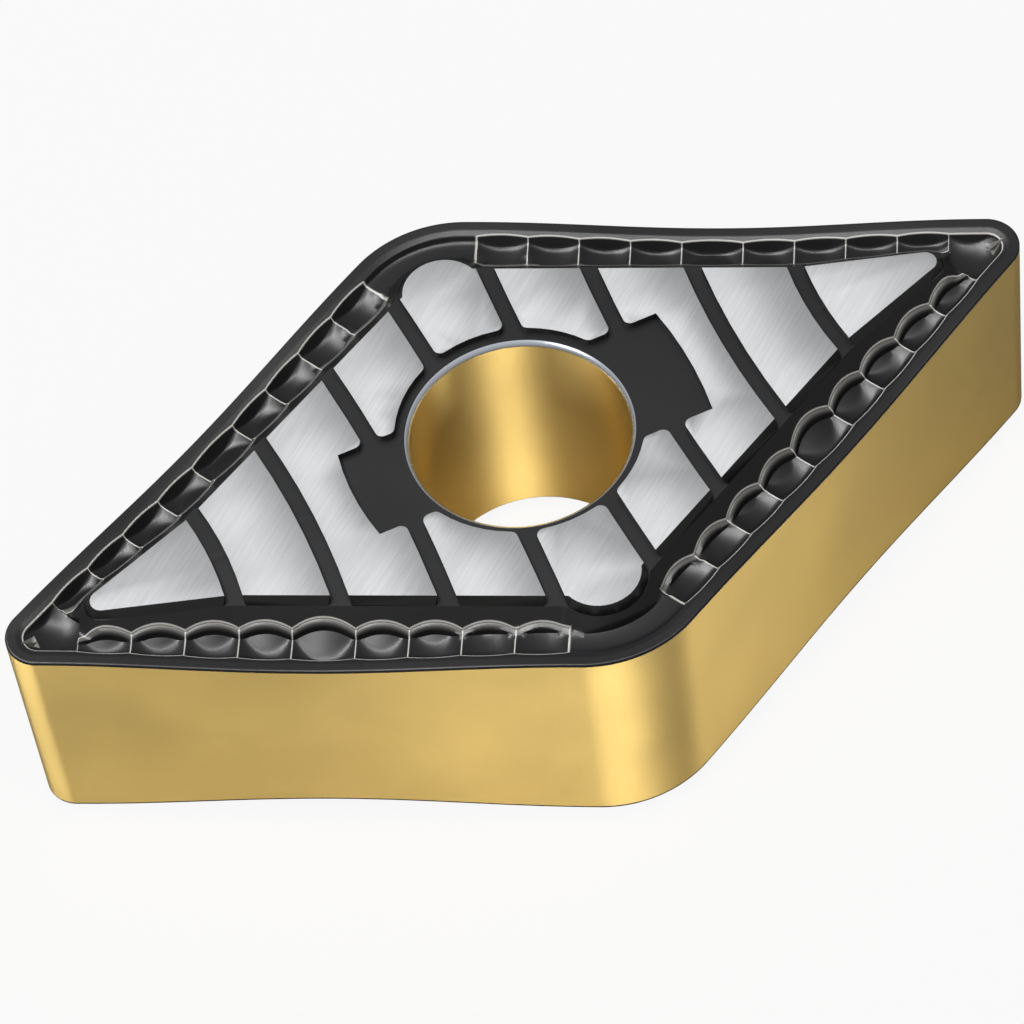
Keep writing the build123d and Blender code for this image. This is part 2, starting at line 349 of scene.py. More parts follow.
class ChipFace:
    """Height of one face above the middle plane, worked out at any point of its plan."""

    def __init__(self, sizes):
        for name, value in sizes.items():
            setattr(self, name, value)
        self.half = self.nose_angle / 2
        self.half_sine = work("SINE", self.half)
        self.half_cosine = work("COSINE", self.half)
        self.half_tangent = work("TANGENT", self.half)
        self.nose_vertex = self.inscribed_circle / 2 / self.half_sine
        self.heel_vertex = self.inscribed_circle / 2 / self.half_cosine
        self.side_start = self.nose_radius / self.half_tangent
        side_length = self.nose_vertex / self.half_cosine
        self.side_end = side_length - self.heel_radius * self.half_tangent
        self.nose_centre = self.nose_vertex - self.nose_radius / self.half_sine
        self.heel_centre = self.heel_vertex - self.heel_radius / self.half_cosine
        self.edge_top = SEAT_HEIGHT - self.edge_step
        self.bank_slope = work("TANGENT", self.seat_slope)
        self.outer_climb = work("TANGENT", self.outer_wall_slope)
        self.inner_climb = work("TANGENT", self.inner_wall_slope)
        self.step_climb = work("TANGENT", self.step_slope)
        self.hood_lean = work("TANGENT", self.hood_slope)
        row_length = self.side_end - self.pocket_end_step - self.pocket_start
        self.small_pitch = (row_length - self.large_pitch) / (2 * self.small_each_side)
        self.row_half = row_length / 2
        self.row_middle = self.pocket_start + self.row_half
        self.rake = (self.floor_drop - self.land_drop) / (self.rake_end - self.land_width)
        self.shoulder_x = self.nose_vertex - self.tongue_length
        shoulder_reach = self.tongue_length - self.seat_inset / self.half_sine
        self.shoulder_y = shoulder_reach * self.half_tangent
        shoulder_along = self.tongue_length * self.half_cosine
        self.shoulder_along = shoulder_along + self.shoulder_y * self.half_sine
        self.tongue_lean = work("TANGENT", self.half - self.tongue_half_angle)

    def side_place(self, x, y):
        """Distance along the side from the nose vertex, and inset from the side's line."""
        out, up = in_quarter(x, y)
        along = (self.nose_vertex - out) * self.half_cosine + up * self.half_sine
        inset = (self.nose_vertex - out) * self.half_sine - up * self.half_cosine
        return along, inset

    def inset_from_edge(self, x, y):
        """Inset from the rounded outline of the insert."""
        along, inset = self.side_place(x, y)
        out, up = in_quarter(x, y)
        nose_inset = self.nose_radius - distance(out - self.nose_centre, up)
        heel_inset = self.heel_radius - distance(out, up - self.heel_centre)
        inset = choose(work("LESS_THAN", along, self.side_start), nose_inset, inset)
        return choose(work("GREATER_THAN", along, self.side_end), heel_inset, inset)

    def edge_height(self, along):
        """Height of the cutting edge, which dips smoothly between the corners."""
        part = clamped((along - self.side_start) / (self.side_end - self.side_start))
        dip = work("SINE", pi * part)
        return self.edge_top - self.edge_dip * dip * dip

    def groove_drop(self, inset):
        """Drop of the hone, the land, the rake face and the groove floor."""
        land = self.land_drop * clamped(inset / self.land_width)
        rake_part = clamped((inset - self.land_width) / (self.rake_end - self.land_width))
        rake = (self.floor_drop - self.land_drop) * rake_part
        sharpness = clamped(1.0 - inset / self.hone)
        return land + rake + self.hone * sharpness * sharpness

    def seat_gap(self, x, y):
        """Distance outside the outline of the raised seat."""
        out, up = in_quarter(x, y)
        side_gap = self.seat_inset - self.side_place(x, y)[1]
        lean_sine = work("SINE", self.tongue_half_angle)
        lean_cosine = work("COSINE", self.tongue_half_angle)
        tip_x = self.shoulder_x + self.shoulder_y * lean_cosine / lean_sine
        centre_x = tip_x - self.tongue_radius / lean_sine
        straight_gap = up * lean_cosine - (tip_x - out) * lean_sine
        round_gap = distance(out - centre_x, up) - self.tongue_radius
        past_centre = work("GREATER_THAN", (out - centre_x) * lean_cosine - up * lean_sine, 0.0)
        tongue_gap = choose(past_centre, round_gap, straight_gap)
        heel_y = self.heel_centre + self.heel_radius - self.seat_heel_step - self.seat_heel_radius
        heel_gap = distance(out, up - heel_y) - self.seat_heel_radius
        return smallest(side_gap, tongue_gap, heel_gap)

    def pocket_place(self, along):
        """Square of the place across a pocket, one on a ridge, and the pocket's size."""
        from_middle = work("ABSOLUTE", along - self.row_middle)
        large_part = from_middle / (self.large_pitch / 2)
        small_part = 2.0 * work("FRACT", (from_middle - self.large_pitch / 2) / self.small_pitch) - 1.0
        is_large = work("LESS_THAN", large_part, 1.0)
        across = choose(is_large, large_part, small_part)
        square = choose(work("LESS_THAN", from_middle, self.row_half), across * across, 1.0)
        size = choose(is_large, self.large_pitch / self.small_pitch, 1.0)
        return square, size

    def seat_nearness(self, along):
        """How much nearer to the side the seat's tongue is than the rest of the seat."""
        return largest(self.shoulder_along - along, 0.0) * self.tongue_lean

    def bank_drop(self, along, inset):
        """Drop of the bank below the edge, or of the groove floor where that is higher."""
        bank_inset = self.seat_inset - self.seat_nearness(along)
        bank = SEAT_HEIGHT - self.bank_slope * (bank_inset - inset)
        return smallest(self.edge_height(along) - bank, self.floor_drop)

    def pocket_section(self, along):
        """Places and drops of the section through a pocket and the hood behind it."""
        square, size = self.pocket_place(along)
        bulge = size * (1.0 - square)
        floor = self.ridge_drop + self.bowl_depth * bulge
        front = self.pocket_front + self.front_bow * (1.0 - bulge)
        front_drop = self.land_drop + self.rake * (front - self.land_width)
        start = front + (floor - front_drop) / self.outer_climb
        top = self.hood_reach + self.hood_bow * size * bulge
        top = top - self.hood_give * self.seat_nearness(along)
        back = top - self.hood_wall / self.step_climb
        back_drop = self.bank_drop(along, top) + self.hood_wall
        rim = back - self.hood_width
        rim_drop = back_drop + self.hood_width * self.hood_lean
        climb = largest(floor - rim_drop - self.rim_step, 0.0)
        end = largest(rim - climb / self.inner_climb, start)
        return {
            "floor": floor,
            "front": front,
            "start": start,
            "end": end,
            "rim": rim,
            "back": back,
            "back_drop": back_drop,
            "top": top,
        }

    def pocket_drops(self, along, inset):
        """Drops of the pocket and of the hood behind it."""
        part = self.pocket_section(along)
        outer = self.outer_climb * (part["start"] - inset)
        inner = self.inner_climb * (inset - part["end"])
        rise = work("SMOOTH_MAX", outer, 0.0, self.wall_rounding)
        rise = work("SMOOTH_MAX", inner, rise, self.wall_rounding)
        rise = rise + self.step_climb * largest(inset - part["rim"], 0.0)
        hood = part["back_drop"] + self.hood_lean * (part["back"] - inset)
        past = largest(inset - part["back"], part["rim"] - inset, 0.0)
        return part["floor"] - rise, hood - self.step_climb * past

    def nose_pocket_drop(self, x, y, inset):
        """Drop of the round pocket at the nose, which starts at the same front line."""
        out, up = in_quarter(x, y)
        nose_end = self.nose_centre + self.nose_radius
        reach = distance(out - (nose_end - self.nose_pocket_step), up) / self.nose_pocket_radius
        bowl = self.ridge_drop + self.nose_pocket_depth * (1.0 - reach * reach)
        front = self.pocket_front + self.front_bow
        front_drop = self.land_drop + self.rake * (front - self.land_width)
        wall = front_drop + self.outer_climb * (inset - front)
        return 0.0 - work("SMOOTH_MAX", 0.0 - bowl, 0.0 - wall, self.wall_rounding / 2)

    def notch_drop(self, x, y):
        """Depth of the small pointed notch at the end of the nose."""
        out, up = in_quarter(x, y)
        from_tip = self.nose_centre + self.nose_radius - self.notch_step - out
        half_width = self.notch_half_width * from_tip / self.notch_length
        side_fade = clamped((half_width - up) / self.notch_wall)
        back_fade = clamped((self.notch_length - from_tip) / self.notch_wall)
        return self.notch_depth * side_fade * back_fade

    def height(self, x, y):
        """Height of the face at a point of its plan."""
        along = self.side_place(x, y)[0]
        inset = self.inset_from_edge(x, y)
        edge = self.edge_height(along)
        bank = SEAT_HEIGHT - self.bank_slope * self.seat_gap(x, y)
        bank = smallest(bank, SEAT_HEIGHT - self.groove_depth)
        height = largest(edge - self.groove_drop(inset), bank)
        pocket, hood = self.pocket_drops(along, inset)
        from_middle = work("ABSOLUTE", along - self.row_middle)
        in_row = work("LESS_THAN", from_middle, self.row_half)
        row_cut = smallest(height, edge - pocket)
        row_cut = choose(in_row, smallest(row_cut, edge - hood), row_cut)
        nose_cut = smallest(height, edge - self.nose_pocket_drop(x, y, inset))
        nose_cut = nose_cut - self.notch_drop(x, y)
        return choose(work("GREATER_THAN", along, self.pocket_start), row_cut, nose_cut)


# The plan of one quarter of a face


class Sheet:
    """Points and faces gathered by place, so that what meets is joined."""

    def __init__(self):
        self.points = []
        self.places = {}
        self.faces = []
        self.held = []
        self.crests = []

    def point(self, x, y, z=0.0, held=False, crest=0.0):
        """Index of the point at that place, which is made if it is new."""
        key = tuple(round(value / SAME_POINT) for value in (x, y, z)) + (held,)
        if key not in self.places:
            self.places[key] = len(self.points)
            self.points.append((x, y, z))
            self.held.append(held)
            self.crests.append(crest)
        return self.places[key]

    def face(self, *corners):
        """A face through the corners, left out where it shrinks to a line."""
        kept = [corner for place, corner in enumerate(corners) if corner != corners[place - 1]]
        if len(set(kept)) > 2:
            self.faces.append(kept)

    def band(self, first, second):
        """Faces between two rows of as many points."""
        for place in range(len(first) - 1):
            self.face(first[place], first[place + 1], second[place + 1], second[place])

    def fill(self, loop):
        """Flat filling of a closed loop of points."""
        corners = [Vector(self.points[index]) for index in loop]
        for triangle in tessellate_polygon([corners]):
            self.face(*[loop[place] for place in triangle])

    def mesh(self, name):
        """The gathered points and faces as a mesh with their marks, among them the painted highlight."""
        mesh = bpy.data.meshes.new(name)
        mesh.from_pydata(self.points, [], self.faces)
        for label, values in (("held", self.held), ("crest", self.crests)):
            attribute = mesh.attributes.new(label, "FLOAT", "POINT")
            attribute.data.foreach_set("value", [float(value) for value in values])
        return mesh


class Column:
    """One line across the chip groove, from the cutting edge inward."""

    def __init__(self, face, start, inward, along, on_ridge=False):
        self.face = face
        self.start = Vector(start)
        self.inward = Vector(inward)
        self.along = along
        self.on_ridge = on_ridge
        self.limit = self.inset_where(lambda point: point.y <= 0 or self.on_seat(point))

    def at(self, inset):
        """Point of the plan at that inset."""
        return self.start + self.inward * inset

    def on_seat(self, point):
        """Whether the bank has risen to the floor of the seat grooves."""
        face = self.face
        return face.seat_gap(point.x, point.y) <= face.groove_depth / face.bank_slope

    def inset_where(self, reached):
        """First inset at which something is reached, found by halving."""
        low = self.face.nose_radius / 2
        high = self.face.heel_radius
        halvings = 40
        for _ in range(halvings):
            middle = (low + high) / 2
            if reached(self.at(middle)):
                high = middle
            else:
                low = middle
        return high

    def key_insets(self, crest_width):
        """Inset, painted highlight mark and count of mesh rows for each stretch of the section."""
        face = self.face
        part = face.pocket_section(self.along)
        front, top = part["front"], part["top"]
        step_run = face.rim_step / face.step_climb
        return (
            (face.hone / 2, 0, 1),
            (face.hone, 0, 1),
            (face.land_width, 0, 6),
            (front - crest_width, 0, 5),
            (front, 1, 1),
            (front + crest_width, 0, 1),
            (part["start"], 0, 7),
            (part["end"], 0, 4),
            (part["rim"], 0, 5),
            (part["rim"] + step_run, HOOD_SHEEN / 2, 2),
            (part["back"], HOOD_SHEEN, 4),
            (top, 1, 1),
            (top + crest_width, 0, 1),
            (self.limit, 0, 10),
        )

    def rows(self, crest_width):
        """All insets of the column, each with its painted highlight mark."""
        part = self.face.pocket_section(self.along)
        front, top = part["front"], part["top"]
        row_start = self.face.pocket_start
        row_end = self.face.row_middle + self.face.row_half
        in_row = row_start - crest_width / 2 < self.along < row_end + crest_width
        rows = [(0.0, 0.0)]
        start = 0.0
        for end, mark, count in self.key_insets(crest_width):
            end = max(start, end)
            for step in range(1, count + 1):
                inset = start + (end - start) * step / count
                # Painted highlight lines on the front line, the top of the hood and the ridges, and a
                # weaker painted sheen on the hood.
                crest = mark * (step == count or mark == HOOD_SHEEN)
                if not in_row and (inset > front or self.along > row_end):
                    crest = 0
                if self.on_ridge and front < inset < top:
                    crest = 1
                rows.append((min(inset, self.limit), crest))
            start = end
        return rows


def spread(start, end, steps):
    """Places from start to end in even steps, with both ends."""
    return [start + (end - start) * step / steps for step in range(steps + 1)]


def side_stations(face, detail):
    """Places along the side of every mesh column, and whether each is on a ridge."""
    row_start = face.pocket_start
    row_end = row_start + 2 * face.row_half
    edge = detail.crest_width
    gap = edge / 5
    plain = spread(face.side_start, row_start - gap, detail.cell_columns)
    ridges = [row_start + gap]
    pitches = [face.small_pitch] * face.small_each_side
    pitches = pitches + [face.large_pitch] + pitches
    start = row_start
    for pitch in pitches:
        plain += spread(start + edge, start + pitch - edge, detail.cell_columns)
        start += pitch
        ridges.append(start)
    ridges[-1] = row_end
    plain += spread(row_end, face.side_end, detail.run_out_columns)[1:]
    return sorted([(along, False) for along in plain] + [(along, True) for along in ridges])


def quarter_columns(face, detail):
    """Columns from the long axis at the nose, along the side, to the short axis at the heel."""
    side_turn = pi / 2 - face.half
    columns = []
    for step in range(detail.arc_columns):
        turn = side_turn * step / detail.arc_columns
        outward = Vector((cos(turn), sin(turn)))
        start = Vector((face.nose_centre, 0)) + outward * face.nose_radius
        columns.append(Column(face, start, -outward, face.side_start))
    line = Vector((-face.half_cosine, face.half_sine))
    inward = Vector((-face.half_sine, -face.half_cosine))
    for along, on_ridge in side_stations(face, detail):
        start = Vector((face.nose_vertex, 0)) + line * along
        columns.append(Column(face, start, inward, along, on_ridge))
    heel_steps = 2 * detail.arc_columns
    for step in range(1, heel_steps + 1):
        turn = side_turn + face.half * step / heel_steps
        outward = Vector((cos(turn), sin(turn)))
        start = Vector((0, face.heel_centre)) + outward * face.heel_radius
        columns.append(Column(face, start, -outward, face.side_end))
    return columns


def hole_arc(sheet, detail, radius, height, held=True):
    """Quarter of a circle round the hole, from the long axis to the short one."""
    arc = []
    for step in range(detail.hole_segments + 1):
        turn = pi / 2 * step / detail.hole_segments
        arc.append(sheet.point(radius * cos(turn), radius * sin(turn), height, held))
    return arc


def core_rings(sheet, face, detail, columns):
    """Ring under the dark coating's skirt and ring of the hidden core inside it."""
    skirt = []
    core = []
    core_height = MIDDLE + SEAT_HEIGHT - detail.core_step
    for column in columns:
        edge = MIDDLE + face.edge_height(column.along) - face.hone - detail.skirt
        skirt.append(sheet.point(*column.start, edge, True))
        core.append(sheet.point(*column.at(detail.core_inset), core_height, True))
    return skirt, core


def chip_face_quarter(face, detail):
    """Closed slab under one quarter of a face, with its top still flat."""
    sheet = Sheet()
    columns = quarter_columns(face, detail)
    grid = []
    for column in columns:
        line = []
        for inset, crest in column.rows(detail.crest_width):
            place = column.at(inset)
            # The notch is painted light with the highlight colour, a painted highlight.
            if face.notch_drop(place.x, place.y) > 0:
                crest = NOTCH_SHEEN
            line.append(sheet.point(place.x, max(place.y, 0), crest=crest))
        grid.append(line)
    for first, second in zip(grid, grid[1:]):
        sheet.band(first, second)
    inner = []
    for line in grid:
        if line[-1] not in inner:
            inner.append(line[-1])
    mouth = BORE + detail.mouth_bevel
    collar = BORE + detail.collar
    groove_floor = MIDDLE + SEAT_HEIGHT - face.groove_depth
    rim_foot = groove_floor - detail.mouth_bevel
    core_height = MIDDLE + SEAT_HEIGHT - detail.core_step
    top_arc = hole_arc(sheet, detail, mouth, 0.0, held=False)
    on_axis = [index for index in inner if abs(sheet.points[index][1]) < SAME_POINT]
    sheet.fill(inner[len(on_axis) - 1:] + top_arc[::-1])
    arcs = [top_arc]
    arcs.append(hole_arc(sheet, detail, mouth, rim_foot))
    arcs.append(hole_arc(sheet, detail, collar, rim_foot))
    arcs.append(hole_arc(sheet, detail, collar, core_height))
    for first, second in zip(arcs, arcs[1:]):
        sheet.band(first, second)
    skirt, core = core_rings(sheet, face, detail, columns)
    sheet.band([line[0] for line in grid], skirt)
    sheet.band(skirt, core)
    sheet.fill(core + arcs[-1][::-1])
    return sheet


def flank_eighth(face, detail):
    """Upper half of one quarter of the body: flank, hidden core and wall of the hole."""
    sheet = Sheet()
    columns = quarter_columns(face, detail)
    skirt, core = core_rings(sheet, face, detail, columns)
    rows = detail.flank_rows
    wall = []
    for row in range(rows):
        line = []
        for index in skirt:
            x, y, z = sheet.points[index]
            line.append(sheet.point(x, y, MIDDLE + (z - MIDDLE) * row / rows, True))
        wall.append(line)
    wall += [skirt, core]
    for first, second in zip(wall, wall[1:]):
        sheet.band(first, second)
    rim_foot = MIDDLE + SEAT_HEIGHT - face.groove_depth - detail.mouth_bevel
    core_height = MIDDLE + SEAT_HEIGHT - detail.core_step
    arcs = []
    arcs.append(hole_arc(sheet, detail, BORE + detail.collar, core_height))
    arcs.append(hole_arc(sheet, detail, BORE + detail.collar, rim_foot))
    for row in range(rows + 1):
        height = MIDDLE + (rim_foot - MIDDLE) * (rows - row) / rows
        arcs.append(hole_arc(sheet, detail, BORE, height))
    for first, second in zip(arcs, arcs[1:]):
        sheet.band(first, second)
    sheet.fill(core + arcs[0][::-1])
    return sheet


# Trees that lay out a quarter and its mirror images


def new_tree(name, sizes):
    """Geometry tree with a quarter, named sizes and a face as its sockets."""
    tree = bpy.data.node_groups.new(name, "GeometryNodeTree")
    face = tree.interface
    face.new_socket("Quarter", in_out="INPUT", socket_type="NodeSocketGeometry")
    for label in sizes:
        face.new_socket(label, in_out="INPUT", socket_type="NodeSocketFloat")
    face.new_socket("Whole", in_out="OUTPUT", socket_type="NodeSocketGeometry")
    return tree, tree.nodes.new("NodeGroupInput"), tree.nodes.new("NodeGroupOutput")


def mirrored(tree, geometry, scale):
    """The geometry joined with its mirror image, turned the right way out."""
    image = tree.nodes.new("GeometryNodeTransform")
    image.inputs["Scale"].default_value = scale
    flip = tree.nodes.new("GeometryNodeFlipFaces")
    join = tree.nodes.new("GeometryNodeJoinGeometry")
    tree.links.new(geometry, image.inputs["Geometry"])
    tree.links.new(image.outputs["Geometry"], flip.inputs["Mesh"])
    tree.links.new(flip.outputs["Mesh"], join.inputs["Geometry"])
    tree.links.new(geometry, join.inputs["Geometry"])
    return join.outputs["Geometry"]


def finish_tree(tree, geometry, output, material):
    """Joins what meets, makes it real and gives it its material."""
    merge = tree.nodes.new("GeometryNodeMergeByDistance")
    merge.inputs["Distance"].default_value = SAME_SEAM
    real = tree.nodes.new("GeometryNodeRealizeInstances")
    paint = tree.nodes.new("GeometryNodeSetMaterial")
    paint.inputs["Material"].default_value = material
    tree.links.new(geometry, merge.inputs["Geometry"])
    tree.links.new(merge.outputs["Geometry"], real.inputs["Geometry"])
    tree.links.new(real.outputs["Geometry"], paint.inputs["Geometry"])
    tree.links.new(paint.outputs["Geometry"], output.inputs["Whole"])


def chip_face_tree(labels, material):
    """Lifts the flat plan to the height that the rule gives, then mirrors it."""
    tree, entry, output = new_tree("chip_face_rule", labels.values())
    position = tree.nodes.new("GeometryNodeInputPosition")
    split = tree.nodes.new("ShaderNodeSeparateXYZ")
    tree.links.new(position.outputs["Position"], split.inputs[0])
    x, y, z = [Field(tree, socket) for socket in split.outputs]
    sizes = {name: Field(tree, entry.outputs[label]) for name, label in labels.items()}
    held_mark = tree.nodes.new("GeometryNodeInputNamedAttribute")
    held_mark.data_type = "FLOAT"
    held_mark.inputs["Name"].default_value = "held"
    held = Field(tree, held_mark.outputs["Attribute"])
    height = choose(held, z, ChipFace(sizes).height(x, y) + MIDDLE)
    place = tree.nodes.new("ShaderNodeCombineXYZ")
    for value, socket in zip((x, y, height), place.inputs):
        tree.links.new(value.socket, socket)
    lift = tree.nodes.new("GeometryNodeSetPosition")
    tree.links.new(entry.outputs["Quarter"], lift.inputs["Geometry"])
    tree.links.new(place.outputs["Vector"], lift.inputs["Position"])
    half = mirrored(tree, lift.outputs["Geometry"], (-1, 1, 1))
    whole = mirrored(tree, half, (1, -1, 1))
    finish_tree(tree, whole, output, material)
    return tree


def flank_tree(material):
    """Mirrors an eighth of the body across its three planes of symmetry."""
    tree, entry, output = new_tree("flank_mirror", [])
    quarter = mirrored(tree, entry.outputs["Quarter"], (-1, 1, 1))
    half = mirrored(tree, quarter, (1, -1, 1))
    centred = tree.nodes.new("GeometryNodeTransform")
    centred.inputs["Translation"].default_value = (0, 0, -MIDDLE)
    tree.links.new(half, centred.inputs["Geometry"])
    whole = mirrored(tree, centred.outputs["Geometry"], (1, 1, -1))
    placed = tree.nodes.new("GeometryNodeTransform")
    placed.inputs["Translation"].default_value = (0, 0, MIDDLE)
    tree.links.new(whole, placed.inputs["Geometry"])
    finish_tree(tree, placed.outputs["Geometry"], output, material)
    return tree


def in_scene(name, data):
    """Object of that name, put in the scene."""
    piece = bpy.data.objects.new(name, data)
    bpy.context.scene.collection.objects.link(piece)
    return piece


def laid_out(name, mesh, tree, values):
    """Object whose mesh is the result of the tree, as a plain mesh turned outward."""
    piece = in_scene(name, mesh)
    modifier = piece.modifiers.new("layout", "NODES")
    modifier.node_group = tree
    for item in tree.interface.items_tree:
        if item.in_out == "INPUT" and item.socket_type == "NodeSocketFloat":
            modifier[item.identifier] = float(values[item.name])
    graph = bpy.context.evaluated_depsgraph_get()
    result = bpy.data.meshes.new_from_object(piece.evaluated_get(graph))
    piece.modifiers.remove(modifier)
    piece.data = result
    turn_outward(result)
    return piece


def turn_outward(mesh):
    """Faces of a closed mesh point outward, and only real corners stay sharp."""
    work_mesh = bmesh.new()
    work_mesh.from_mesh(mesh)
    bmesh.ops.remove_doubles(work_mesh, verts=work_mesh.verts, dist=SAME_CORNER)
    bmesh.ops.recalc_face_normals(work_mesh, faces=work_mesh.faces)
    smooth_where_curved(work_mesh)
    work_mesh.to_mesh(mesh)
    work_mesh.free()
    mesh.set_sharp_from_angle(angle=SHARP_TURN)


def smooth_where_curved(work_mesh):
    """Smooth shading everywhere but on the level faces, which stay flat."""
    level = cos(radians(0.2))
    for face in work_mesh.faces:
        face.smooth = abs(face.normal.z) < level


def show(piece, material=None):
    """The piece rides on the body, with the given material if one is given."""
    if material:
        piece.data.materials.clear()
        piece.data.materials.append(material)
    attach(piece, BODY)
    return piece


def turned_over(piece, name):
    """Copy of a piece of the upper face, turned over to the lower one."""
    mesh = piece.data.copy()
    mesh.transform(Matrix.Translation((0, 0, 2 * MIDDLE)) @ Matrix.Rotation(pi, 4, "X"))
    return in_scene(name, mesh)


# Materials


def put_group(material, group, values, place):
    """Places a shared group in a material with values of its own."""
    node = material.node_tree.nodes.new("ShaderNodeGroup")
    node.node_tree = group
    for label, value in values.items():
        node.inputs[label].default_value = value
    material.node_tree.links.new(place, node.inputs["Place"])
    return node


# Sockets of the shader groups that hold more than a plain number
SOCKET_KINDS = {
    "Colour": "NodeSocketColor",
    "Place": "NodeSocketVector",
    "Turn": "NodeSocketVector",
    "Stretch": "NodeSocketVector",
}


def shader_group(name, inputs, outputs):
    """Empty shader group with the named inputs and outputs."""
    tree = bpy.data.node_groups.new(name, "ShaderNodeTree")
    for in_out, labels in (("INPUT", inputs), ("OUTPUT", outputs)):
        for label in labels:
            kind = SOCKET_KINDS.get(label, "NodeSocketFloat")
            tree.interface.new_socket(label, in_out=in_out, socket_type=kind)
    return tree, tree.nodes.new("NodeGroupInput"), tree.nodes.new("NodeGroupOutput")


def tinted(tree, socket, brightness):
    """The colour made brighter or darker."""
    tint = tree.nodes.new("ShaderNodeVectorMath")
    tint.operation = "SCALE"
    tree.links.new(socket, tint.inputs[0])
    tree.links.new(brightness.socket, tint.inputs["Scale"])
    return tint.outputs[0]


def grain_group():
    """Fine grain of a sintered and coated surface: a tint, a roughness and a height."""
    if "coating_grain" in bpy.data.node_groups:
        return bpy.data.node_groups["coating_grain"]
    inputs = ("Place", "Colour", "Grain size", "Tint change", "Roughness", "Roughness change")
    outputs = ("Colour", "Roughness", "Height")
    tree, entry, output = shader_group("coating_grain", inputs, outputs)
    fine = tree.nodes.new("ShaderNodeTexNoise")
    fine.inputs["Detail"].default_value = 3.0
    cloud = tree.nodes.new("ShaderNodeTexNoise")
    cloud.inputs["Scale"].default_value = 320.0
    grain_size = Field(tree, entry.outputs["Grain size"])
    tree.links.new((1.0 / grain_size).socket, fine.inputs["Scale"])
    for noise in (fine, cloud):
        tree.links.new(entry.outputs["Place"], noise.inputs["Vector"])
    grain = Field(tree, fine.outputs["Fac"]) - 0.5
    drift = Field(tree, cloud.outputs["Fac"]) - 0.5
    change = Field(tree, entry.outputs["Tint change"])
    brightness = 1.0 + change * (grain + drift)
    tree.links.new(tinted(tree, entry.outputs["Colour"], brightness), output.inputs["Colour"])
    rough_change = Field(tree, entry.outputs["Roughness change"])
    roughness = Field(tree, entry.outputs["Roughness"]) + rough_change * (grain + drift)
    tree.links.new(roughness.socket, output.inputs["Roughness"])
    tree.links.new(fine.outputs["Fac"], output.inputs["Height"])
    return tree


def scratch_group():
    """Fine parallel lines left by a grinding wheel: a mask and a height."""
    if "grinding_lines" in bpy.data.node_groups:
        return bpy.data.node_groups["grinding_lines"]
    inputs = ("Place", "Turn", "Stretch", "Line size")
    tree, entry, output = shader_group("grinding_lines", inputs, ("Lines", "Height"))
    mapping = tree.nodes.new("ShaderNodeMapping")
    mapping.vector_type = "TEXTURE"
    noise = tree.nodes.new("ShaderNodeTexNoise")
    noise.inputs["Detail"].default_value = 4.0
    noise.inputs["Roughness"].default_value = 0.6
    scale = 1.0 / Field(tree, entry.outputs["Line size"])
    tree.links.new(entry.outputs["Place"], mapping.inputs["Vector"])
    tree.links.new(entry.outputs["Turn"], mapping.inputs["Rotation"])
    tree.links.new(entry.outputs["Stretch"], mapping.inputs["Scale"])
    tree.links.new(mapping.outputs["Vector"], noise.inputs["Vector"])
    tree.links.new(scale.socket, noise.inputs["Scale"])
    tree.links.new(noise.outputs["Fac"], output.inputs["Lines"])
    tree.links.new(noise.outputs["Fac"], output.inputs["Height"])
    return tree


def add_bump(material, shader, height, strength, depth):
    """Fine relief from a height."""
    bump = material.node_tree.nodes.new("ShaderNodeBump")
    bump.inputs["Strength"].default_value = strength
    bump.inputs["Distance"].default_value = depth
    material.node_tree.links.new(height, bump.inputs["Height"])
    material.node_tree.links.new(bump.outputs["Normal"], shader.inputs["Normal"])


def coated(name, tint, roughness, grain_size, tint_change, roughness_change):
    """Material with a grain, along with its shader, the place that it reads and the grain."""
    material = bpy.data.materials.new(name)
    material.use_nodes = True
    tree = material.node_tree
    shader = tree.nodes["Principled BSDF"]
    place = tree.nodes.new("ShaderNodeTexCoord").outputs["Object"]
    grain_values = {
        "Colour": (*tint, 1.0),
        "Grain size": grain_size,
        "Tint change": tint_change,
        "Roughness": roughness,
        "Roughness change": roughness_change,
    }
    grain = put_group(material, grain_group(), grain_values, place)
    tree.links.new(grain.outputs["Colour"], shader.inputs["Base Color"])
    tree.links.new(grain.outputs["Roughness"], shader.inputs["Roughness"])
    return material, shader, place, grain


def gold_material(finishes):
    """Satin gold hard coating over ground carbide."""
    material, shader, place, _ = coated(
        "gold_coating",
        finishes.gold,
        finishes.gold_roughness,
        grain_size=0.05 * MM,
        tint_change=0.10,
        roughness_change=0.10,
    )
    line_values = {"Turn": (0, 0, 0), "Stretch": (1.0, 1.0, 18.0), "Line size": 0.06 * MM}
    lines = put_group(material, scratch_group(), line_values, place)
    shader.inputs["Metallic"].default_value = 1.0
    shader.inputs["Anisotropic"].default_value = finishes.gold_grinding
    shader.inputs["Anisotropic Rotation"].default_value = 0.25
    add_bump(material, shader, lines.outputs["Height"], strength=0.15, depth=0.001 * MM)
    return material


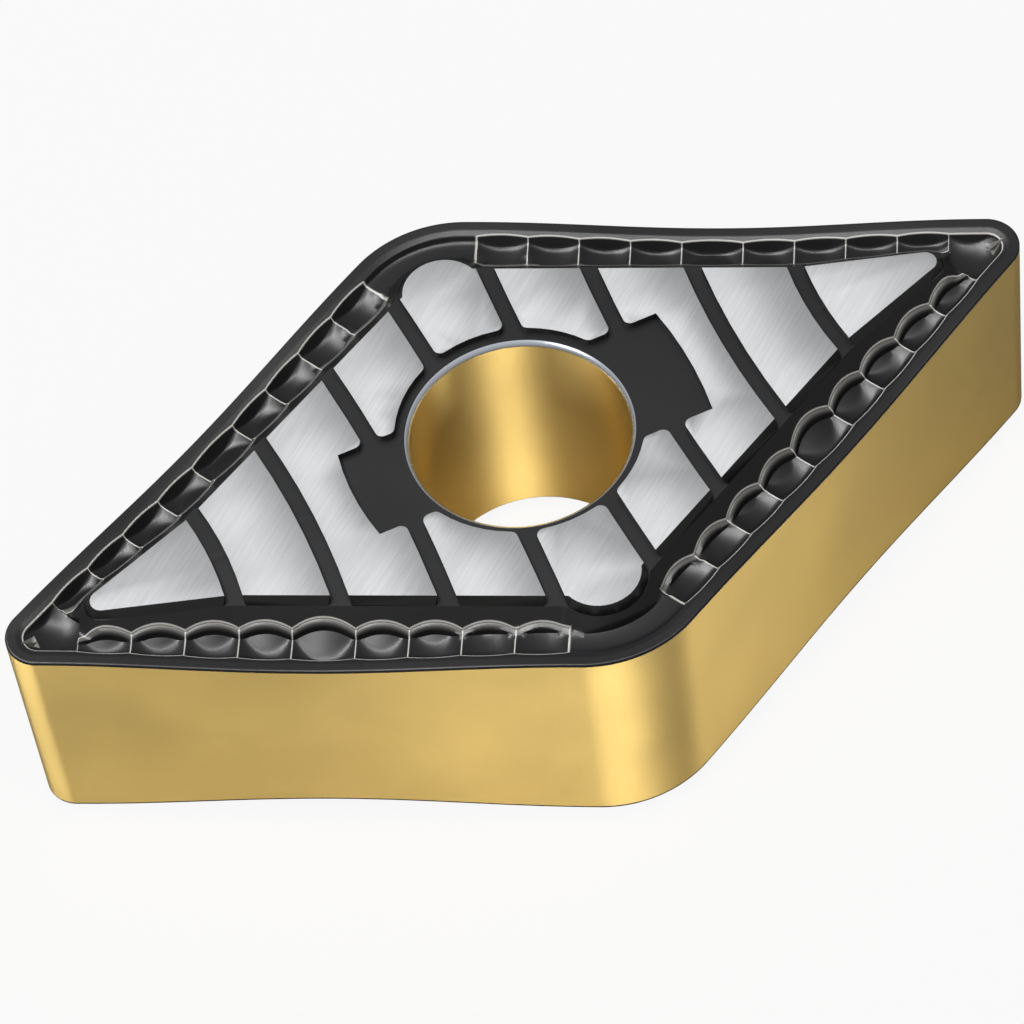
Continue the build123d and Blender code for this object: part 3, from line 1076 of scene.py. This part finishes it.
def black_material(finishes):
    """Dark satin coating with painted highlights: bright lines along the crests of the pockets, a weaker
    painted sheen on the hoods and pad walls, and the notch painted light.
    """
    material, shader, _, grain = coated(
        "black_coating",
        finishes.black,
        finishes.black_roughness,
        grain_size=0.04 * MM,
        tint_change=0.35,
        roughness_change=0.12,
    )
    nodes, links = material.node_tree.nodes, material.node_tree.links
    # Painted highlights: the mark mixes the dark coating towards the bright line colour.
    crest = nodes.new("ShaderNodeAttribute")
    crest.attribute_name = "crest"
    mix = nodes.new("ShaderNodeMix")
    mix.data_type = "RGBA"
    plain, bright = [socket for socket in mix.inputs if socket.type == "RGBA"]
    mixed = next(socket for socket in mix.outputs if socket.type == "RGBA")
    links.new(crest.outputs["Fac"], mix.inputs["Factor"])
    links.new(grain.outputs["Colour"], plain)
    bright.default_value = (*finishes.crest, 1.0)
    links.new(mixed, shader.inputs["Base Color"])
    shader.inputs["Specular IOR Level"].default_value = finishes.black_gloss
    add_bump(material, shader, grain.outputs["Height"], strength=0.25, depth=0.003 * MM)
    return material


def ground_material(finishes):
    """Ground seat with fine slanting lines."""
    material, shader, place, grain = coated(
        "ground_seat",
        finishes.ground,
        finishes.ground_roughness,
        grain_size=0.08 * MM,
        tint_change=0.05,
        roughness_change=0.08,
    )
    line_values = {
        "Turn": (0, 0, radians(38)),
        "Stretch": (30.0, 1.0, 1.0),
        "Line size": 0.05 * MM,
    }
    lines = put_group(material, scratch_group(), line_values, place)
    tree = material.node_tree
    line_contrast = 0.4
    brightness = 1.0 + line_contrast * (Field(tree, lines.outputs["Lines"]) - 0.5)
    tint = tinted(tree, grain.outputs["Colour"], brightness)
    tree.links.new(tint, shader.inputs["Base Color"])
    shader.inputs["Metallic"].default_value = 1.0
    add_bump(material, shader, lines.outputs["Height"], strength=0.5, depth=0.002 * MM)
    return material


def rim_material(finishes):
    """Bright chamfer at the mouth of the hole."""
    material, shader, _, grain = coated(
        "bright_rim",
        finishes.rim,
        finishes.rim_roughness,
        grain_size=0.05 * MM,
        tint_change=0.08,
        roughness_change=0.08,
    )
    shader.inputs["Metallic"].default_value = 1.0
    add_bump(material, shader, grain.outputs["Height"], strength=0.2, depth=0.002 * MM)
    return material


# Operators


def size_values(sizes):
    """The insert's sizes as plain numbers by property name."""
    return {name: getattr(sizes, name) for name in InsertSizes.__annotations__}


def size_labels(sizes):
    """The label of each size by property name."""
    return {name: sizes.bl_rna.properties[name].name for name in InsertSizes.__annotations__}


class INSERT_OT_chip_faces(bpy.types.Operator):
    """Makes the dark chip faces with their rows of pockets"""

    bl_idname = "insert.chip_faces"
    bl_label = "Chip faces"

    def execute(self, context):
        scene = context.scene
        values = size_values(scene.insert_sizes)
        labels = size_labels(scene.insert_sizes)
        sheet = chip_face_quarter(ChipFace(values), scene.insert_detail)
        tree = chip_face_tree(labels, black_material(scene.insert_finishes))
        inputs = {labels[name]: value for name, value in values.items()}
        upper = laid_out("upper_chip_face", sheet.mesh("upper_chip_face"), tree, inputs)
        lower = turned_over(upper, "lower_chip_face")
        for piece in (upper, lower):
            show(piece)
        return {"FINISHED"}


class INSERT_OT_flank(bpy.types.Operator):
    """Makes the gold flank and the wall of the hole"""

    bl_idname = "insert.flank"
    bl_label = "Flank and hole"

    def execute(self, context):
        scene = context.scene
        face = ChipFace(size_values(scene.insert_sizes))
        sheet = flank_eighth(face, scene.insert_detail)
        tree = flank_tree(gold_material(scene.insert_finishes))
        flank = laid_out("flank_and_hole", sheet.mesh("flank_and_hole"), tree, {})
        show(flank)
        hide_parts(NODE)
        return {"FINISHED"}


class INSERT_OT_seat_pads(bpy.types.Operator):
    """Makes the ground pads of both seats from the solid's own pads"""

    bl_idname = "insert.seat_pads"
    bl_label = "Seat pads"

    def execute(self, context):
        scene = context.scene
        depth = scene.insert_sizes.groove_depth
        edge = scene.insert_detail.pad_edge
        ground = ground_material(scene.insert_finishes)
        black = bpy.data.materials["black_coating"]
        for name, side in (("upper_seat_pads", 1), ("lower_seat_pads", -1)):
            mesh = seat_pads(name, side, depth, edge)
            pads = in_scene(name, mesh)
            mesh.materials.append(ground)
            mesh.materials.append(black)
            show(pads)
        return {"FINISHED"}


def seat_pads(name, side, depth, edge):
    """Closed pads of one face, cut from a copy of the solid at the groove floor."""
    pads = bmesh.new()
    pads.from_mesh(frame["nodes"][NODE].data)
    near = SAME_LEVEL / 2
    bmesh.ops.remove_doubles(pads, verts=pads.verts, dist=near)
    cut_height = MIDDLE + side * (SEAT_HEIGHT - depth)
    geometry = list(pads.verts) + list(pads.edges) + list(pads.faces)
    bmesh.ops.bisect_plane(
        pads,
        geom=geometry,
        dist=near,
        plane_co=(0, 0, cut_height),
        plane_no=(0, 0, side),
        clear_inner=True,
    )
    floors = [
        face for face in pads.faces
        if all(abs(vertex.co.z - cut_height) < SAME_LEVEL for vertex in face.verts)
    ]
    bmesh.ops.delete(pads, geom=floors, context="FACES")
    bmesh.ops.dissolve_limit(
        pads, angle_limit=radians(1), verts=pads.verts, edges=pads.edges, delimit={"NORMAL"}
    )
    open_edges = [line for line in pads.edges if line.is_boundary]
    bmesh.ops.holes_fill(pads, edges=open_edges, sides=0)
    bmesh.ops.recalc_face_normals(pads, faces=pads.faces)
    top = MIDDLE + side * SEAT_HEIGHT
    rim = [
        line for line in pads.edges
        if all(abs(vertex.co.z - top) < SAME_LEVEL for vertex in line.verts)
        and len(line.link_faces) == 2
        and line.calc_face_angle(0) > radians(20)
    ]
    bmesh.ops.bevel(
        pads,
        geom=rim,
        offset=edge,
        segments=2,
        profile=0.5,
        affect="EDGES",
        clamp_overlap=True,
    )
    smooth_where_curved(pads)
    steepest_ground = radians(35)
    for face in pads.faces:
        face.material_index = int(face.normal.z * side <= cos(steepest_ground))
    mesh = bpy.data.meshes.new(name)
    bmesh.ops.triangulate(pads, faces=pads.faces)
    pads.to_mesh(mesh)
    pads.free()
    # Painted sheen: the dark walls of the pads are lightened a little towards the highlight colour, as if
    # light fell on them.
    sheen = mesh.attributes.new("crest", "FLOAT", "POINT")
    sheen.data.foreach_set("value", [PAD_WALL_SHEEN] * len(mesh.vertices))
    mesh.set_sharp_from_angle(angle=PAD_SHARP_TURN)
    return mesh


class INSERT_OT_mouth_rims(bpy.types.Operator):
    """Makes the bright chamfer ring at each mouth of the hole"""

    bl_idname = "insert.mouth_rims"
    bl_label = "Mouth rims"

    def execute(self, context):
        scene = context.scene
        detail = scene.insert_detail
        top = MIDDLE + SEAT_HEIGHT - scene.insert_sizes.groove_depth
        foot = top - detail.mouth_bevel
        mouth = BORE + detail.mouth_bevel
        soft = detail.mouth_bevel / 8
        section = [
            (BORE, foot),
            (BORE + soft / 2, foot + soft * 1.5),
            (mouth - soft * 1.5, top - soft / 2),
            (mouth, top),
            (mouth, foot),
        ]
        sheet = Sheet()
        segments = 4 * detail.hole_segments
        rings = []
        for radius, height in section + section[:1]:
            ring = []
            for step in range(segments + 1):
                turn = 2 * pi * (step % segments) / segments
                ring.append(sheet.point(radius * cos(turn), radius * sin(turn), height))
            rings.append(ring)
        for first, second in zip(rings, rings[1:]):
            sheet.band(first, second)
        upper = in_scene("upper_mouth_rim", sheet.mesh("upper_mouth_rim"))
        turn_outward(upper.data)
        lower = turned_over(upper, "lower_mouth_rim")
        material = rim_material(scene.insert_finishes)
        for piece in (upper, lower):
            show(piece, material)
        return {"FINISHED"}


GOLD_PIECES = ("flank_and_hole",)
CHIP_FACES = ("upper_chip_face", "lower_chip_face")
SEAT_PADS = ("upper_seat_pads", "lower_seat_pads")

# Soft lamps in metres and watts: name, place, size, power and the pieces they light, or none for all
LAMPS = (
    ("key", (-0.12, -0.02, 0.16), (0.05, 0.05), 0.06, ()),
    ("pocket_key", (-0.065, 0.01, 0.15), (0.20, 0.03), 0.35, CHIP_FACES),
    ("bowl_key", (-0.014, 0.01, 0.15), (0.014, 0.20), 0.32, CHIP_FACES),
    ("sky_panel", (-0.010, 0.075, 0.15), (0.10, 0.08), 0.034, SEAT_PADS),
    ("corner_strip", (-0.036, -0.078, 0.012), (0.010, 0.020), 0.0054, GOLD_PIECES),
    ("bore_strip", (-0.013, -0.072, 0.118), (0.048, 0.030), 0.49, GOLD_PIECES),
    ("right_panel", (0.0326, -0.031, 0.015), (0.008, 0.015), 0.0065, GOLD_PIECES),
    ("nose_panel", (-0.0331, -0.0054, 0.01), (0.024, 0.02), 0.0085, GOLD_PIECES),
)


def add_area_light(name, place, aim, size, power):
    """Soft rectangular lamp that looks at a point."""
    lamp = bpy.data.lights.new(name, "AREA")
    lamp.shape = "RECTANGLE"
    lamp.size, lamp.size_y = size
    lamp.energy = power
    holder = in_scene(name, lamp)
    holder.location = place
    holder.rotation_euler = (Vector(aim) - Vector(place)).to_track_quat("-Z", "Y").to_euler()
    return holder


def light_only(lamp, piece_names):
    """Keeps a lamp's light to the named pieces, if any are named."""
    if piece_names:
        receivers = bpy.data.collections.new(lamp.name + "_lit")
        for piece_name in piece_names:
            receivers.objects.link(bpy.data.objects[piece_name])
        lamp.light_linking.receiver_collection = receivers


def add_camera(stage):
    """Camera at the photograph's viewing angle."""
    flat = cos(stage.tilt)
    forward = Vector((sin(stage.heading) * flat, cos(stage.heading) * flat, -sin(stage.tilt)))
    right = forward.cross(Vector((0, 0, 1))).normalized()
    up = right.cross(forward)
    level = Matrix((right, up, -forward)).transposed()
    aim = Vector((stage.aim_x, stage.aim_y, MIDDLE))
    camera = bpy.data.cameras.new("camera")
    camera.lens = stage.lens
    camera.sensor_width = 36.0
    camera.clip_start = 0.001
    camera.clip_end = 10.0
    holder = in_scene("camera", camera)
    turned = (level @ Matrix.Rotation(stage.roll, 3, "Z")).to_4x4()
    holder.matrix_world = Matrix.Translation(aim - forward * stage.distance) @ turned
    bpy.context.scene.camera = holder


def plain_background(tree, shader_socket, target, background, share_of_glow):
    """Mixes the plain background into what the camera sees straight or through glass."""
    path = tree.nodes.new("ShaderNodeLightPath")
    glow = tree.nodes.new("ShaderNodeEmission")
    glow.inputs["Color"].default_value = (*background, 1.0)
    mix = tree.nodes.new("ShaderNodeMixShader")
    seen = Field(tree, path.outputs["Is Camera Ray"])
    seen = largest(seen, Field(tree, path.outputs["Is Transmission Ray"]))
    tree.links.new((seen * share_of_glow).socket, mix.inputs["Fac"])
    tree.links.new(shader_socket, mix.inputs[1])
    tree.links.new(glow.outputs["Emission"], mix.inputs[2])
    tree.links.new(mix.outputs[0], target)


class INSERT_OT_stage(bpy.types.Operator):
    """Makes the floor, the soft lamps and the camera"""

    bl_idname = "insert.stage"
    bl_label = "Studio"

    def execute(self, context):
        scene = context.scene
        stage = scene.insert_stage
        world = bpy.data.worlds.new("studio")
        world.use_nodes = True
        scene.world = world
        soft = world.node_tree.nodes["Background"]
        soft.inputs["Color"].default_value = (1.0, 1.0, 1.0, 1.0)
        direction = world.node_tree.nodes.new("ShaderNodeTexCoord")
        split = world.node_tree.nodes.new("ShaderNodeSeparateXYZ")
        world.node_tree.links.new(direction.outputs["Generated"], split.inputs[0])
        upward = clamped(Field(world.node_tree, split.outputs["Z"]))
        strength = stage.surround * (stage.horizon + (1.0 - stage.horizon) * upward)
        world.node_tree.links.new(strength.socket, soft.inputs["Strength"])
        target = world.node_tree.nodes["World Output"].inputs["Surface"]
        plain_background(world.node_tree, soft.outputs[0], target, stage.background, 1.0)
        self.add_floor(stage)
        for name, place, size, power, lit_pieces in LAMPS:
            lamp = add_area_light(name, place, (0, 0, MIDDLE), size, power)
            light_only(lamp, lit_pieces)
        add_camera(stage)
        scene.view_settings.view_transform = "Standard"
        return {"FINISHED"}

    def add_floor(self, stage):
        """Large pale sheet under the insert."""
        floor_mesh = bpy.data.meshes.new("floor")
        reach = stage.floor_reach
        corners = [(-reach, -reach), (reach, -reach), (reach, reach), (-reach, reach)]
        floor_mesh.from_pydata([(x, y, BOX_LOW.z) for x, y in corners], [], [(0, 1, 2, 3)])
        floor_piece = in_scene("floor", floor_mesh)
        material = bpy.data.materials.new("pale_floor")
        material.use_nodes = True
        nodes = material.node_tree.nodes
        shader = nodes["Principled BSDF"]
        shader.inputs["Base Color"].default_value = (*stage.floor_shade, 1.0)
        shader.inputs["Roughness"].default_value = stage.floor_roughness
        target = nodes["Material Output"].inputs["Surface"]
        glow = stage.floor_glow
        plain_background(material.node_tree, shader.outputs[0], target, stage.background, glow)
        floor_mesh.materials.append(material)


class INSERT_PT_panel(bpy.types.Panel):
    """Sidebar panel with the insert's sizes, finishes and steps"""

    bl_idname = "INSERT_PT_panel"
    bl_label = "Carbide insert"
    bl_space_type = "VIEW_3D"
    bl_region_type = "UI"
    bl_category = "Insert"

    def draw(self, context):
        layout = self.layout
        for step in STEPS:
            layout.operator(step.bl_idname)
        for group_name, group in GROUPS.items():
            box = layout.box()
            box.label(text=group.__doc__)
            for name in group.__annotations__:
                box.prop(getattr(context.scene, group_name), name)


STEPS = (
    INSERT_OT_chip_faces,
    INSERT_OT_flank,
    INSERT_OT_seat_pads,
    INSERT_OT_mouth_rims,
    INSERT_OT_stage,
)
GROUPS = {
    "insert_sizes": InsertSizes,
    "insert_detail": InsertDetail,
    "insert_finishes": InsertFinishes,
    "insert_stage": StageValues,
}


def register():
    for group_name, group in GROUPS.items():
        bpy.utils.register_class(group)
        setattr(bpy.types.Scene, group_name, PointerProperty(type=group))
    for step in STEPS + (INSERT_PT_panel,):
        bpy.utils.register_class(step)


def unregister():
    for step in (INSERT_PT_panel,) + STEPS[::-1]:
        bpy.utils.unregister_class(step)
    for group_name, group in reversed(GROUPS.items()):
        delattr(bpy.types.Scene, group_name)
        bpy.utils.unregister_class(group)


def main():
    """Makes the insert and its stage."""
    register()
    bpy.ops.insert.chip_faces()
    bpy.ops.insert.flank()
    bpy.ops.insert.seat_pads()
    bpy.ops.insert.mouth_rims()
    bpy.ops.insert.stage()


if __name__ == "__main__":
    main()
